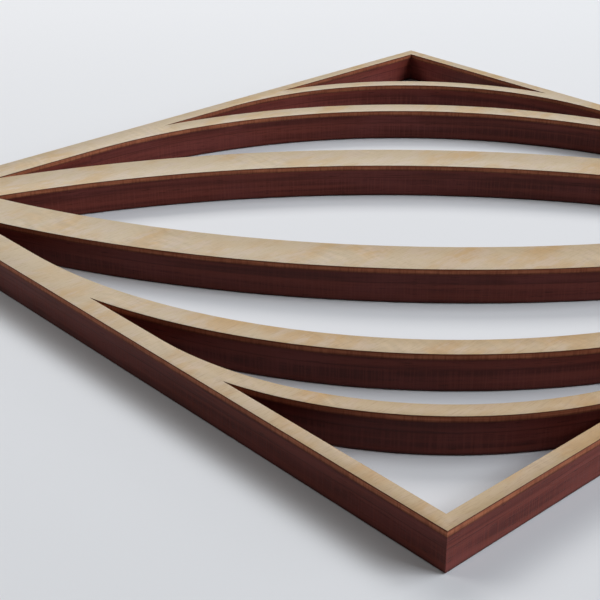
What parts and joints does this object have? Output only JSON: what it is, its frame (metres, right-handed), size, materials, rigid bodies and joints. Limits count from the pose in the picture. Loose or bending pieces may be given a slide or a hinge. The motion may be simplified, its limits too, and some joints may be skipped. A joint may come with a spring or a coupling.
{
  "type": "square lattice panel",
  "caption": "Flat square wall panel of curved hardwood ribs jointed into slim rails, under one pale plywood face, with an eye-shaped opening along the diagonal.",
  "frame": {"origin": "centre of the back face, on the surface that the panel lies on", "axes": "+X along the eye, from the left corner to the right corner; -Y to the near corner; +Z out of the back face and up through the face sheet"},
  "size_m": [0.5656, 0.5656, 0.018],
  "materials": {
    "light_ply": "sanded, satin, pale and finely figured, with scorched cut edges",
    "dark_hardwood": "oiled, low sheen, dark red-brown with lengthwise grain",
    "hidden_joinery": "plain beech, unfinished"
  },
  "bodies": {
    "root": {"face_sheet": "light_ply", "rail_near_left": "dark_hardwood", "rail_near_right": "dark_hardwood", "rail_far_left": "dark_hardwood", "rail_far_right": "dark_hardwood", "rib_near_wide": "dark_hardwood", "rib_near_middle": "dark_hardwood", "rib_near_narrow": "dark_hardwood", "rib_far_wide": "dark_hardwood", "rib_far_middle": "dark_hardwood", "rib_far_narrow": "dark_hardwood", "corner_tongue_left": "hidden_joinery", "corner_tongue_right": "hidden_joinery", "corner_key_near": "hidden_joinery", "corner_key_far": "hidden_joinery", "pin_near_middle_left": "hidden_joinery", "pin_near_middle_right": "hidden_joinery", "pin_far_middle_left": "hidden_joinery", "pin_far_middle_right": "hidden_joinery", "pin_near_narrow_left": "hidden_joinery", "pin_near_narrow_right": "hidden_joinery", "pin_far_narrow_left": "hidden_joinery", "pin_far_narrow_right": "hidden_joinery"}
  },
  "joints": []
}
